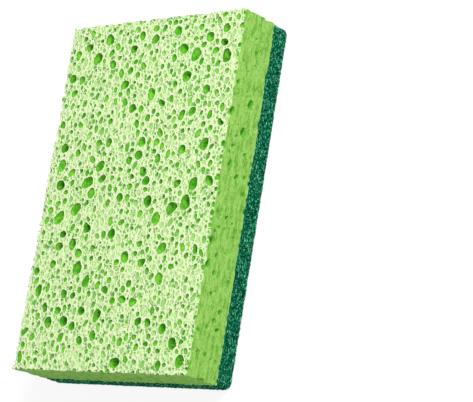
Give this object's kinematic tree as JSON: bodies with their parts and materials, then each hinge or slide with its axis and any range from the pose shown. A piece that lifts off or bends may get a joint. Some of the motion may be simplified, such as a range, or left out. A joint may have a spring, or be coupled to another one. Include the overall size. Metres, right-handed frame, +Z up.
{
  "type": "cleaning sponge",
  "caption": "Oblong kitchen cleaning sponge: a light green open-celled cellulose foam block with a dark green abrasive fibre scouring pad bonded under it.",
  "frame": {"origin": "middle of the pad's flat underside, where the sponge rests", "axes": "+Z up, out of the foam's open-celled face; +X along the length; +Y across the width"},
  "size_m": [0.11, 0.071, 0.0205],
  "materials": {
    "cellulose": "matte",
    "scouring_fibre": "matte"
  },
  "bodies": {
    "root": {"cellulose_sponge": "cellulose", "scouring_pad": "scouring_fibre"}
  },
  "joints": []
}
